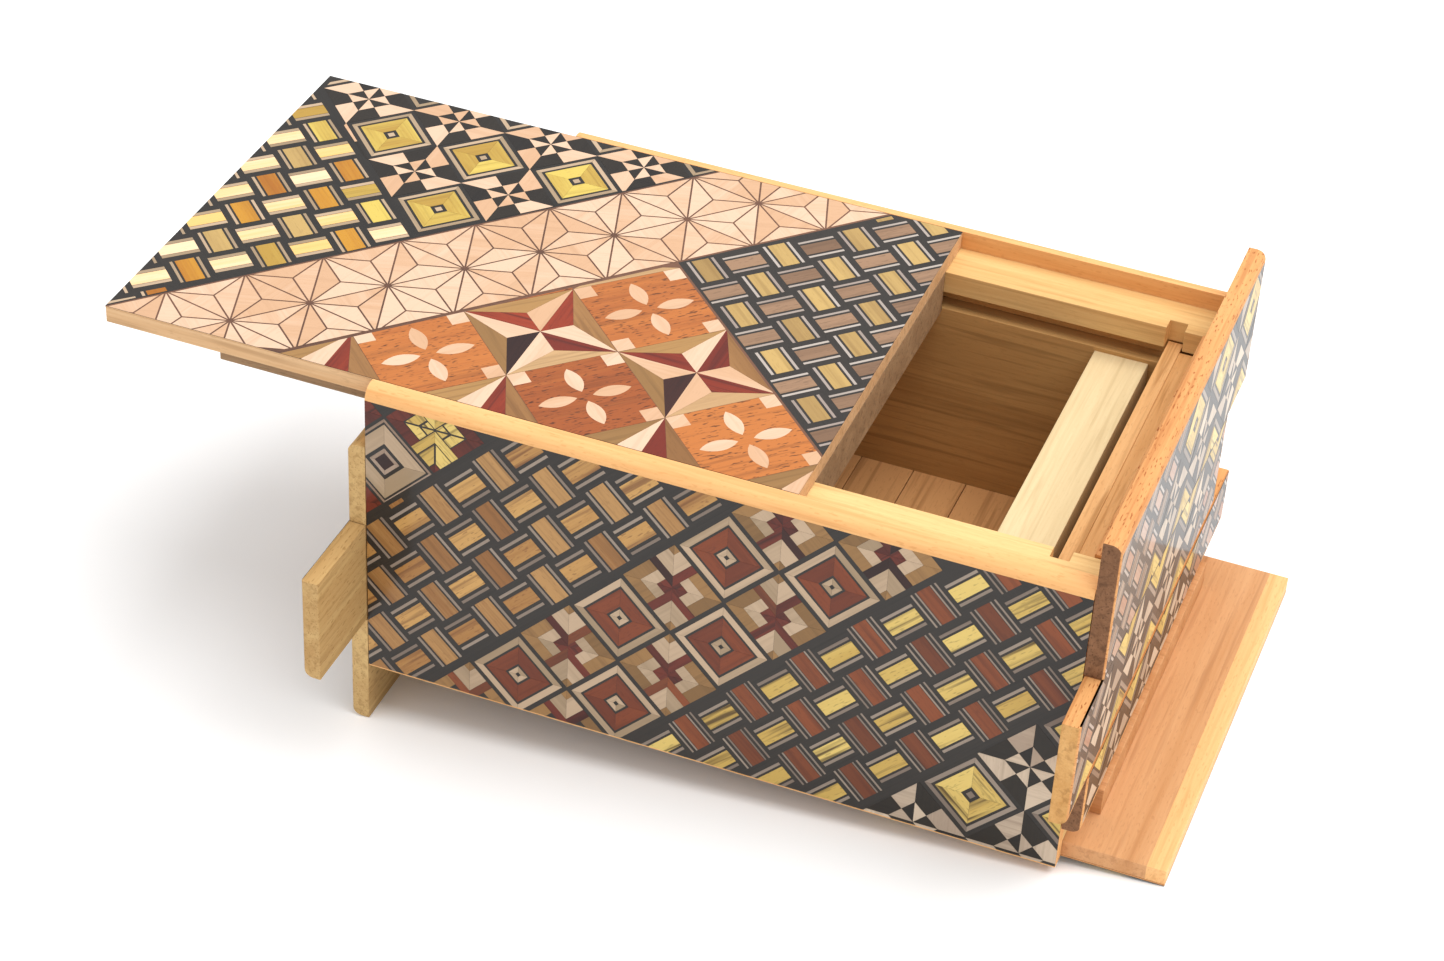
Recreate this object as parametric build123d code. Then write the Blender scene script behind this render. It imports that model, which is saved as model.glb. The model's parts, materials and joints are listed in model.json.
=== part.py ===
from build123d import *
import os

# Wooden trick box with sliding end panels, keys, lid and bottom, shown part way through being opened.
# Closed-box coordinates: X along the length, Y to the back, Z up, z = 0 under the closed bottom panel.
# Each moving piece is drawn closed and then shifted by its own opening, and the whole box is shifted
# so that the origin is the bottom centre of the opened box.

# ---- driving dimensions, millimetres ----
CASE_L = 147.6          # carcass, between the two end panels
CASE_W = 108.0          # over the veneered front and back
CASE_H = 70.0           # over the veneered lid and bottom
LONG_BOARD_T = 3.8      # front and back boards with their veneer
END_T = 3.85            # end panel strips with their veneer
LID_T = 3.9             # lid and bottom boards with their veneer
VENEER_T = 0.4          # marquetry sheet
TOP_EDGE_R = 2.8        # hand-rounded top edges of the long boards
LOW_EDGE_R = 0.5        # eased lower edges of the long boards
END_EDGE_R = 2.2        # rounded long edges of the end panels and keys
CORNER_R = 0.6          # eased upright corners of the end panels and keys

RAIL_W = 10.2           # rails that carry the lid and the bottom
UPPER_RAIL_H = 5.0
LOWER_RAIL_H = 3.0
UPPER_GROOVE_H = 4.0    # groove under the upper rail
LOWER_GROOVE_H = 3.6    # groove over the lower rail
GROOVE_DEPTH = 4.2

INNER_WALL_T = 11.6     # end walls of the compartment
INNER_WALL_GAP = 2.9    # between each of them and the tongue outside it
FLOOR_T = 1.5
FLOOR_TOP = 13.5
SLAT_W = 12.5           # floor slats
SLAT_GAP = 0.2

TONGUE_T = 3.2          # end panel's guide tongue
TONGUE_SHORT = 5.8      # the tongue stops this far short of the height of the lid's block
TONGUE_BITE = 2.8       # how far the tongue runs into each dado
BACKING_T = 4.05
SPACER_H = 12.0
SPACER_GAP = 2.0        # between the spacers and the rails, and the spacers and the lock teeth

KEY_H = 24.2
LEFT_KEY_INSET = 19.4   # top of the left key, under the top of the closed box
RIGHT_KEY_LOW = 14.4    # underside of the right key on the closed box
KEY_NECK_H = 5.0
KEY_CATCH_H = 7.0
KEY_CATCH_T = 3.6
KEY_CATCH_ROOM = 3.7    # clear height over and under the catch, between the spacers
KEY_CATCH_BACK_GAP = 7.0    # between the catch and the back wall when the key is home
KEY_CATCH_FRONT_GAP = 1.0   # between the catch and the front wall when the key is right out
KEY_TRAVEL = 24.0
KEY_NECK_END = 5.0      # the neck stops this far inside each end of the catch
TOOTH_L = 20.0          # lock teeth, forward from the back inner wall
LEFT_TOOTH_GAP = 3.2    # between tooth and catch once the end panel has been moved
RIGHT_TOOTH_GAP = 0.9

LID_BLOCK_T = 9.9       # board under the lid, between the rails
BOTTOM_BLOCK_T = 6.3
LID_BLOCK_INSET = 19.7  # from the lid's left end
BOTTOM_BLOCK_INSET = 16.5   # from the bottom's right end
RUNNER_L = 70.0
BOTTOM_RUNNER_RISE = 0.25   # the bottom's runners ride this far over their rails
RUNNER_START = 14.2     # from the block's leading end

RUN = 0.15              # running clearance of what slides
PLAY = 0.3              # looser clearance of hidden sliding pieces
END_CLEAR = 0.4         # between a moved end panel and the block that passes over or under it

# ---- how far each piece has been moved from the closed box ----
LID_OPEN = 59.1         # lid, to the left
BOTTOM_OPEN = 21.2      # bottom, to the right
LEFT_END_DROP = LID_T + LID_BLOCK_T + END_CLEAR         # left end panel, down
RIGHT_END_LIFT = LID_T + BOTTOM_BLOCK_T + END_CLEAR     # right end panel, up
LEFT_KEY_OUT = 21.0     # left key, forward
RIGHT_KEY_OUT = 14.7    # right key, forward

# ---- derived places ----
CASE_X = CASE_L / 2
CASE_Y = CASE_W / 2
BOARD_IN = CASE_Y - LONG_BOARD_T            # inner face of the long boards
RAIL_IN = BOARD_IN - RAIL_W                 # inner face of the rails and inner walls
LID_UNDER = CASE_H - LID_T
RAIL_TOP = LID_UNDER - RUN
GROOVE_TOP = RAIL_TOP - UPPER_RAIL_H
WALL_TOP = GROOVE_TOP - UPPER_GROOVE_H
LOWER_RAIL_Z = LID_T + RUN
LOWER_GROOVE_Z = LOWER_RAIL_Z + LOWER_RAIL_H
WALL_LOW = LOWER_GROOVE_Z + LOWER_GROOVE_H
LID_BLOCK_LOW = LID_UNDER - LID_BLOCK_T
BOTTOM_BLOCK_TOP = LID_T + BOTTOM_BLOCK_T
BLOCK_Y = RAIL_IN - PLAY                    # half width of what slides between the rails
STRIP_X = CASE_X + RUN                      # inner face of the end panel strips
BACKING_X = STRIP_X - BACKING_T
BACKING_INSET = LID_T + max(LID_BLOCK_T, BOTTOM_BLOCK_T) + PLAY  # from the far face of the box
TONGUE_OUT = BACKING_X - PLAY - KEY_CATCH_T - PLAY
TONGUE_X = TONGUE_OUT - TONGUE_T            # inner face of the guide tongue
TONGUE_H = LID_BLOCK_LOW - TONGUE_SHORT - (LID_T + PLAY)
INNER_WALL_X = TONGUE_X - INNER_WALL_GAP - INNER_WALL_T     # inner faces of the compartment's end walls
TONGUE_Y = RAIL_IN + TONGUE_BITE
DADO_Y = TONGUE_Y + PLAY
TOOTH_FRONT = RAIL_IN - TOOTH_L
SPACER_Y = (SPACER_GAP - RAIL_IN, TOOTH_FRONT - SPACER_GAP)
LEFT_KEY_LOW = CASE_H - LEFT_KEY_INSET - KEY_H
CATCH_Y = (KEY_CATCH_FRONT_GAP + KEY_TRAVEL - RAIL_IN, RAIL_IN - KEY_CATCH_BACK_GAP)
LEFT_TOOTH_H = LEFT_END_DROP - KEY_CATCH_H - PLAY - LEFT_TOOTH_GAP
RIGHT_TOOTH_H = RIGHT_END_LIFT - KEY_CATCH_H - PLAY - RIGHT_TOOTH_GAP

SHIFT_X = (LID_OPEN - BOTTOM_OPEN) / 2
SHIFT_Y = max(LEFT_KEY_OUT, RIGHT_KEY_OUT) / 2
SHIFT_Z = LEFT_END_DROP

os.makedirs("parts", exist_ok=True)


def block(x0, x1, y0, y1, z0, z1):
    """A plain board between two corners, whichever order each pair is given in."""
    centre = Pos((x0 + x1) / 2, (y0 + y1) / 2, (z0 + z1) / 2)
    return centre * Box(abs(x1 - x0), abs(y1 - y0), abs(z1 - z0))


def rounded(board, axis, radius, keep):
    """The board with its edges along one axis rounded where keep(edge centre) is true."""
    edges = [edge for edge in board.edges().filter_by(axis) if keep(edge.center())]
    return fillet(edges, radius)


def save(name, shape, move=(0, 0, 0)):
    """Write one node, moved from its closed place and into the part's own frame."""
    place = Pos(SHIFT_X + move[0], SHIFT_Y + move[1], SHIFT_Z + move[2])
    export_step(place * shape, "parts/" + name + ".step")


# ---- carcass: long boards, rails, inner walls ----
def long_board(side):
    """Front (side -1) or back (side 1) board, and the veneer let into its outer face."""
    y_out, y_in = side * CASE_Y, side * BOARD_IN
    board = block(-CASE_X, CASE_X, y_in, y_out, 0, CASE_H)
    outer = CASE_Y - LONG_BOARD_T / 2
    middle = CASE_H / 2
    board = rounded(board, Axis.X, TOP_EDGE_R, lambda c: c.Y * side > outer and c.Z > middle)
    board = rounded(board, Axis.X, LOW_EDGE_R, lambda c: c.Y * side > outer and c.Z < middle)
    veneer_y = (y_out - side * VENEER_T, y_out)
    veneer = block(-CASE_X, CASE_X, *veneer_y, LOW_EDGE_R, CASE_H - TOP_EDGE_R)
    return board - veneer, veneer


def slotted(y_in, y_out, z0, z1, side):
    """A full-length strip inside a long board, with a dado for each guide tongue."""
    strip = block(-CASE_X, CASE_X, side * y_in, side * y_out, z0, z1)
    for end in (-1, 1):
        dado_x = (end * (TONGUE_X - PLAY), end * (TONGUE_OUT + PLAY))
        strip -= block(*dado_x, side * (y_in - 1), side * DADO_Y, z0 - 1, z1 + 1)
    return strip


for name, side in (("front", -1), ("back", 1)):
    board, veneer = long_board(side)
    groove_y = RAIL_IN + GROOVE_DEPTH
    save(name + "_board", board)
    save(name + "_veneer", veneer)
    save(name + "_upper_rail", slotted(RAIL_IN, BOARD_IN, GROOVE_TOP, RAIL_TOP, side))
    save(name + "_upper_groove_strip", slotted(groove_y, BOARD_IN, WALL_TOP, GROOVE_TOP, side))
    save(name + "_inner_wall", slotted(RAIL_IN, BOARD_IN, WALL_LOW, WALL_TOP, side))
    save(name + "_lower_groove_strip", slotted(groove_y, BOARD_IN, LOWER_GROOVE_Z, WALL_LOW, side))
    save(name + "_lower_rail", slotted(RAIL_IN, BOARD_IN, LOWER_RAIL_Z, LOWER_GROOVE_Z, side))

# ---- carcass: compartment ends and floor ----
WALL_FOOT = FLOOR_TOP - FLOOR_T
for name, end in (("left", -1), ("right", 1)):
    wall_x = (end * INNER_WALL_X, end * (INNER_WALL_X + INNER_WALL_T))
    wall = block(*wall_x, -RAIL_IN, RAIL_IN, WALL_FOOT, LID_BLOCK_LOW - RUN)
    save(name + "_inner_end_wall", wall)


def floor_slats():
    """Floor of the compartment: slats laid across it, with a fine seam after each one."""
    slats = []
    start = -INNER_WALL_X
    while start < INNER_WALL_X:
        stop = min(start + SLAT_W - SLAT_GAP, INNER_WALL_X)
        slats.append(block(start, stop, -RAIL_IN, RAIL_IN, WALL_FOOT, FLOOR_TOP))
        start += SLAT_W
    return Compound(slats)


save("floor_slats", floor_slats())


# ---- lid and bottom ----
def panel(name, veneer_z, board_z, block_z, runner_z, block_x, runner_x, move):
    """Lid or bottom: veneer, board, the block between the rails and its two runners."""
    half_y = BOARD_IN - RUN
    half_x = CASE_X - RUN
    save(name + "_veneer", block(-half_x, half_x, -half_y, half_y, *veneer_z), move)
    save(name + "_board", block(-half_x, half_x, -half_y, half_y, *board_z), move)
    save(name + "_block", block(*block_x, -BLOCK_Y, BLOCK_Y, *block_z), move)
    tip = RAIL_IN + GROOVE_DEPTH - PLAY
    for row, side in (("front", -1), ("back", 1)):
        save(name + "_" + row + "_runner", block(*runner_x, side * BLOCK_Y, side * tip, *runner_z), move)


lid_block_end = CASE_X - RUN
lid_runner_z = (WALL_TOP + PLAY, GROOVE_TOP - PLAY)
panel(
    "lid",
    (CASE_H - VENEER_T, CASE_H),
    (LID_UNDER, CASE_H - VENEER_T),
    (LID_BLOCK_LOW, LID_UNDER),
    lid_runner_z,
    (-CASE_X + LID_BLOCK_INSET, lid_block_end),
    (lid_block_end - RUNNER_START - RUNNER_L, lid_block_end - RUNNER_START),
    (-LID_OPEN, 0, 0),
)
bottom_runner_z = (LOWER_GROOVE_Z + BOTTOM_RUNNER_RISE, min(BOTTOM_BLOCK_TOP, WALL_LOW - PLAY))
panel(
    "bottom",
    (0, VENEER_T),
    (VENEER_T, LID_T),
    (LID_T, BOTTOM_BLOCK_TOP),
    bottom_runner_z,
    (-lid_block_end, CASE_X - BOTTOM_BLOCK_INSET),
    (-lid_block_end + RUNNER_START, -lid_block_end + RUNNER_START + RUNNER_L),
    (BOTTOM_OPEN, 0, 0),
)


# ---- end panels and keys ----
def end_strip(end, x_in, z0, z1, round_top, round_foot):
    """One outer strip of an end panel or its key, and its veneer, with the outer edges that are rounded."""
    x_in, x_out = end * x_in, end * (STRIP_X + END_T)
    plain = block(x_in, x_out, -CASE_Y, CASE_Y, z0, z1)
    middle = (z0 + z1) / 2
    outer = STRIP_X + END_T / 2
    strip = rounded(plain, Axis.Z, CORNER_R, lambda c: c.X * end > outer)
    if round_top:
        strip &= rounded(plain, Axis.Y, END_EDGE_R, lambda c: c.X * end > outer and c.Z > middle)
    if round_foot:
        strip &= rounded(plain, Axis.Y, END_EDGE_R, lambda c: c.X * end > outer and c.Z < middle)
    half = CASE_Y - CORNER_R
    low = z0 + END_EDGE_R if round_foot else z0
    high = z1 - END_EDGE_R if round_top else z1
    veneer = block(x_out - end * VENEER_T, x_out, -half, half, low, high)
    return strip - veneer, veneer


def end_panel(name, end, key_low, tongue_z, backing_z, drop, key_out):
    """End panel with its tongue in the dados, and the key that slides between its two strips."""
    move = (0, 0, drop)
    key_high = key_low + KEY_H
    middle = key_low + KEY_H / 2

    for row, z0, z1, top, foot in (
        ("upper", key_high + RUN, CASE_H, True, False),
        ("lower", 0, key_low - RUN, False, True),
    ):
        strip, veneer = end_strip(end, STRIP_X, z0, z1, top, foot)
        save(name + "_" + row + "_strip", strip, move)
        save(name + "_" + row + "_veneer", veneer, move)

    slot = KEY_NECK_H / 2 + RUN
    back_x = (end * BACKING_X, end * STRIP_X)
    save(name + "_upper_backing", block(*back_x, -BLOCK_Y, BLOCK_Y, middle + slot, backing_z[1]), move)
    save(name + "_lower_backing", block(*back_x, -BLOCK_Y, BLOCK_Y, backing_z[0], middle - slot), move)

    spacer_x = (end * TONGUE_OUT, end * BACKING_X)
    room = KEY_CATCH_H / 2 + KEY_CATCH_ROOM
    upper_z = (middle + room, min(middle + room + SPACER_H, backing_z[1]))
    lower_z = (max(middle - room - SPACER_H, backing_z[0]), middle - room)
    save(name + "_upper_spacer", block(*spacer_x, *SPACER_Y, *upper_z), move)
    save(name + "_lower_spacer", block(*spacer_x, *SPACER_Y, *lower_z), move)
    tongue = block(end * TONGUE_X, end * TONGUE_OUT, -TONGUE_Y, TONGUE_Y, *tongue_z)
    save(name + "_tongue", tongue, move)

    key_move = (0, -key_out, drop)
    strip, veneer = end_strip(end, STRIP_X + RUN, key_low, key_high, False, True)
    save(name + "_key_strip", strip, key_move)
    save(name + "_key_veneer", veneer, key_move)
    catch_x = (end * (BACKING_X - PLAY - KEY_CATCH_T), end * (BACKING_X - PLAY))
    catch_z = (middle - KEY_CATCH_H / 2, middle + KEY_CATCH_H / 2)
    save(name + "_key_catch", block(*catch_x, *CATCH_Y, *catch_z), key_move)
    neck_y = (CATCH_Y[0] + KEY_NECK_END, CATCH_Y[1] - KEY_NECK_END)
    neck_z = (middle - KEY_NECK_H / 2, middle + KEY_NECK_H / 2)
    neck_x = (catch_x[1], end * (STRIP_X + RUN))
    save(name + "_key_neck", block(*neck_x, *neck_y, *neck_z), key_move)
    return catch_x, catch_z


left_catch_x, left_catch_z = end_panel(
    "left",
    -1,
    LEFT_KEY_LOW,
    (LID_UNDER - PLAY - TONGUE_H, LID_UNDER - PLAY),
    (BACKING_INSET, LID_UNDER - PLAY),
    -LEFT_END_DROP,
    LEFT_KEY_OUT,
)
right_catch_x, right_catch_z = end_panel(
    "right",
    1,
    RIGHT_KEY_LOW,
    (LID_T + PLAY, LID_T + PLAY + TONGUE_H),
    (LID_T + PLAY, CASE_H - BACKING_INSET),
    RIGHT_END_LIFT,
    RIGHT_KEY_OUT,
)

# Lock teeth on the back inner wall: each stops its end panel while the key's catch is over or under it.
left_tooth_top = left_catch_z[0] - PLAY
left_tooth = block(*left_catch_x, TOOTH_FRONT, RAIL_IN, left_tooth_top - LEFT_TOOTH_H, left_tooth_top)
save("left_lock_tooth", left_tooth)
right_tooth_low = right_catch_z[1] + PLAY
right_tooth = block(*right_catch_x, TOOTH_FRONT, RAIL_IN, right_tooth_low, right_tooth_low + RIGHT_TOOTH_H)
save("right_lock_tooth", right_tooth)
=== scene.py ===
import json
import math
import random

import bmesh
import bpy
from bpy.props import FloatProperty, FloatVectorProperty, IntProperty, PointerProperty
from mathutils import Matrix, Vector

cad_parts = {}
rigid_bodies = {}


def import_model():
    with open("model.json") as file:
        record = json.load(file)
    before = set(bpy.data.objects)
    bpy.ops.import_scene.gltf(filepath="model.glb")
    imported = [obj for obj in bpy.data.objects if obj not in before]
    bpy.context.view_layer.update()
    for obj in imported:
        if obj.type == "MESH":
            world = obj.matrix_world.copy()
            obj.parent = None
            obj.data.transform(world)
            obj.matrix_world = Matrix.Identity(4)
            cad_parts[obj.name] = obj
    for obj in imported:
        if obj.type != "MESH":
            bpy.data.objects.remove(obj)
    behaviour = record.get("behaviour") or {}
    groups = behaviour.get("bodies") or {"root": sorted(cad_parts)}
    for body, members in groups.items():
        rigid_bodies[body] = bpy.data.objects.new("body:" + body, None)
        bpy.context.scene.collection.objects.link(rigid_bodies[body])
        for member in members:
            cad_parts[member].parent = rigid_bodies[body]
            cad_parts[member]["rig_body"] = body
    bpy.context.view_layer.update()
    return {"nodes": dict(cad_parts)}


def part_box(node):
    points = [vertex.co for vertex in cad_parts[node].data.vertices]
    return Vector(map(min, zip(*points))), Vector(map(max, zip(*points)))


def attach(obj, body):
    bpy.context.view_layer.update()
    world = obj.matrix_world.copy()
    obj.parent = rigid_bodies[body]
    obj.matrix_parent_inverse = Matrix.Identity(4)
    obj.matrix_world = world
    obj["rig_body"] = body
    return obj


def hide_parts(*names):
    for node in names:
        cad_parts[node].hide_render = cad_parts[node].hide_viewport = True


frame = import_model()

bl_info = {
    "name": "Wooden puzzle box",
    "version": (1, 0, 0),
    "blender": (4, 5, 0),
    "location": "3D View > Sidebar > Puzzle Box",
    "description": "Builds a sliding-panel puzzle box with marquetry faces around its CAD frame",
    "category": "Add Mesh",
}

MM = 0.001
D = math.sqrt(0.5)      # sine and cosine of 45 degrees

# Where the opened panels stand, in millimetres.
CASE_MIDDLE = Vector((18.95, 10.5, 49.2))
LID_OPEN, BOTTOM_OPEN = 59.1, 21.2
LEFT_DROP, RIGHT_LIFT = 14.2, 10.6
LEFT_KEY_OUT, RIGHT_KEY_OUT = 21.0, 14.7
FEET_APART = 168.8      # from the lowered left end's foot to the bottom's right edge
SLAT_W, SLAT_GAP = 12.5 * MM, 0.2 * MM
EDGE_STRIP = 4.0 * MM   # yellower wood along the bottom board's right edge
FILLER_GROWTH = (0, 21.5, 4.7)      # how far the filler beside the right tongue outgrows its node

CORE_UNDER = 0.15       # from a sheet's face down to the board's own wood
SLIPS_PER_LIFT = 3      # a slip is this many sheet steps thick
SLIVER_SHARE, SLIVER_FROM = 0.2, 15     # a cut slip smaller than this share of itself is left out
LEAST_AREA = 0.01

# The stage, in metres.
FLOOR_ANCHOR = Vector((-0.055, 0, -0.0001))
ROOM_LIGHT = 0.88
WINDOW_PLACE, WINDOW_AIM, WINDOW_SIZE, WINDOW_WATTS = (0.42, 0.05, 1.15), (0.02, 0, 0.03), (1.1, 1.1), 15.0
SENSOR_MM, LENS_MM = 36.0, 85.26
CAMERA_PLACE = Vector((0.18705, -0.52877, 0.47131))
CAMERA_AHEAD = Vector((-0.26096, 0.75572, -0.60065))
CAMERA_ABOVE = Vector((-0.25381, 0.54661, 0.79800))


def linear(code):
    """Linear red, green and blue from a #rrggbb colour."""
    channels = [int(code[i:i + 2], 16) / 255 for i in (1, 3, 5)]
    return tuple(c / 12.92 if c <= 0.04045 else ((c + 0.055) / 1.055) ** 2.4 for c in channels)


# ---- woods -------------------------------------------------------------------------------------
# name: (light part, dark part, pore or streak colour, pores 0-1, streaks 0-1, roughness)
# Marquetry sheets are planed in one shaving off a glued block, then waxed: the surface is close and flat, and
# the wax gives a soft gloss that pales the woods where they are seen nearly edge on.
VENEERS = {
    "spindle_cream": ("#d8b79b", "#c89f7c", "#9a6f4c", 0.10, 0.15, 0.42),
    "sumac_pale": ("#f1cfa8", "#e8ba6f", "#be8b38", 0.10, 0.15, 0.42),
    "sumac_amber": ("#bd8522", "#a06010", "#6e3904", 0.12, 0.25, 0.42),
    "lacquer_tree_yellow": ("#cdb455", "#ab8736", "#745010", 0.15, 0.30, 0.42),
    "mulberry": ("#b9995c", "#9b7c49", "#6e4f23", 0.15, 0.30, 0.42),
    "walnut_grey": ("#96755a", "#755842", "#443225", 0.30, 0.25, 0.42),
    "padauk": ("#b76c30", "#964d20", "#341307", 0.80, 0.30, 0.42),
    "rosewood_red": ("#933315", "#6d1e0c", "#350804", 0.20, 0.60, 0.42),
    "rosewood_dark": ("#652313", "#481409", "#200502", 0.20, 0.70, 0.42),
    "purpleheart": ("#35130c", "#240905", "#0f0302", 0.15, 0.40, 0.42),
    "magnolia_olive": ("#946e40", "#7b5a33", "#593f20", 0.10, 0.30, 0.42),
    "magnolia_light": ("#a27a47", "#896438", "#674924", 0.10, 0.40, 0.42),
    "magnolia_pale": ("#bc976a", "#a47f59", "#7b5c39", 0.10, 0.40, 0.42),
    "camphor_tan": ("#986d3f", "#81582f", "#603d1d", 0.20, 0.40, 0.42),
    "bog_black": ("#1f170d", "#130b06", "#070403", 0.10, 0.20, 0.42),
    "hackberry_pale": ("#c7b39c", "#a38f7c", "#7b6a58", 0.15, 0.30, 0.42),
    "katsura_tan": ("#af844f", "#8a5c2e", "#623c1a", 0.30, 0.40, 0.42),
    "zelkova": ("#c39757", "#a2733c", "#6e4323", 0.55, 0.80, 0.42),
    "cherry_red": ("#80401d", "#673217", "#3d1909", 0.30, 0.45, 0.42),
    "bark_yellow": ("#d6ba69", "#be9d4f", "#513d1a", 0.35, 0.95, 0.42),
    "square_red": ("#793717", "#662b13", "#401607", 0.30, 0.30, 0.42),
    "salmon_cherry": ("#b3927e", "#a3755d", "#7b503a", 0.25, 0.30, 0.42),
    "camphor_pink": ("#9f8977", "#846c59", "#604c3e", 0.20, 0.30, 0.42),
    "aohada_white": ("#afa49b", "#95867d", "#73685f", 0.05, 0.20, 0.42),
    "aohada_warm": ("#b99f83", "#998266", "#76644d", 0.05, 0.20, 0.42),
    "aohada_grey": ("#938476", "#77685c", "#5c5046", 0.05, 0.20, 0.42),
    "ground_slate": ("#2b2622", "#1f1b18", "#141210", 0.10, 0.35, 0.42),
    "ground_black": ("#26211d", "#1b1714", "#11100e", 0.10, 0.35, 0.42),
    "ground_brown": ("#6f4a36", "#503324", "#2f1b14", 0.10, 0.35, 0.42),
}
# The box's own boards are planed and left bare: open pores catch small shadows, and nothing shines. A sawn
# end (keyaki_cut) soaks up more light and looks darker than the face of the same wood.
BOARDS = {
    "hinoki_edge": ("#efbc80", "#db9f62", "#b8783a", 0.30, 0.30, 0.55),
    "keyaki_end": ("#dfa76b", "#c0804a", "#97501f", 0.80, 0.35, 0.55),
    "ho_tan": ("#d7a76a", "#bb8648", "#8d6031", 0.20, 0.45, 0.60),
    "rail_pale": ("#eac88b", "#d2a66a", "#ad7f48", 0.15, 0.40, 0.60),
    "wall_olive": ("#c2975f", "#a67c49", "#7b5a31", 0.15, 0.45, 0.62),
    "end_wall_cream": ("#ddc89d", "#cbb286", "#ab9064", 0.10, 0.30, 0.60),
    "floor_russet": ("#cf9862", "#b57c47", "#8a5a30", 0.20, 0.45, 0.60),
    "lid_tan": ("#e2bd92", "#c99d6f", "#96704a", 0.20, 0.40, 0.60),
    "block_grey": ("#a98a68", "#8a6c4e", "#634a34", 0.30, 0.50, 0.62),
    "bottom_orange": ("#d3a071", "#c08857", "#98613a", 0.20, 0.35, 0.58),
    "keyaki_left": ("#cdac75", "#b28c58", "#85602f", 0.60, 0.40, 0.60),
    "keyaki_cut": ("#8f6547", "#6c4a32", "#422a19", 0.60, 0.50, 0.70),
    "tongue_brown": ("#dfae76", "#c58d53", "#98652f", 0.25, 0.60, 0.60),
}


def colour_props(woods, which, label):
    """One colour property for each wood in a table."""
    return {
        name: FloatVectorProperty(
            name=name.replace("_", " ").capitalize(), description=label.format(name.replace("_", " ")),
            subtype="COLOR", size=3, min=0.0, max=1.0, default=linear(row[which]))
        for name, row in woods.items()
    }


class LightWoodColours(bpy.types.PropertyGroup):
    """Colour of the light part of each wood."""
    __annotations__ = colour_props({**VENEERS, **BOARDS}, 0, "Light part of the {}")


class DarkWoodColours(bpy.types.PropertyGroup):
    """Colour of the dark part of each wood."""
    __annotations__ = colour_props({**VENEERS, **BOARDS}, 1, "Dark part of the {}")


class PuzzleBoxSettings(bpy.types.PropertyGroup):
    """Sizes of the finish on the box."""
    ease: FloatProperty(
        name="Eased edge", description="Width of the sanded-off edge on every board",
        default=0.18 * MM, min=0.0, unit="LENGTH")
    seam: FloatProperty(
        name="Marquetry seam", description="Glue line left between neighbouring pieces of veneer",
        default=0.02 * MM, min=0.0, unit="LENGTH")
    lift: FloatProperty(
        name="Sheet step", description="How far each layer of the marquetry stands over the one under it",
        default=0.025 * MM, min=0.0, unit="LENGTH")
    seed: IntProperty(name="Wood seed", description="Picks each piece's cut from its plank", default=7, min=0)
    light: PointerProperty(type=LightWoodColours)
    dark: PointerProperty(type=DarkWoodColours)


# ---- materials ---------------------------------------------------------------------------------
def add(tree, kind, settings=None, links=None):
    """One node with its properties or socket values, and links from earlier sockets."""
    node = tree.nodes.new(kind)
    for key, value in (settings or {}).items():
        if isinstance(key, str) and hasattr(node, key):
            setattr(node, key, value)
        else:
            node.inputs[key].default_value = value
    for key, socket in (links or {}).items():
        tree.links.new(socket, node.inputs[key])
    return node


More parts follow.
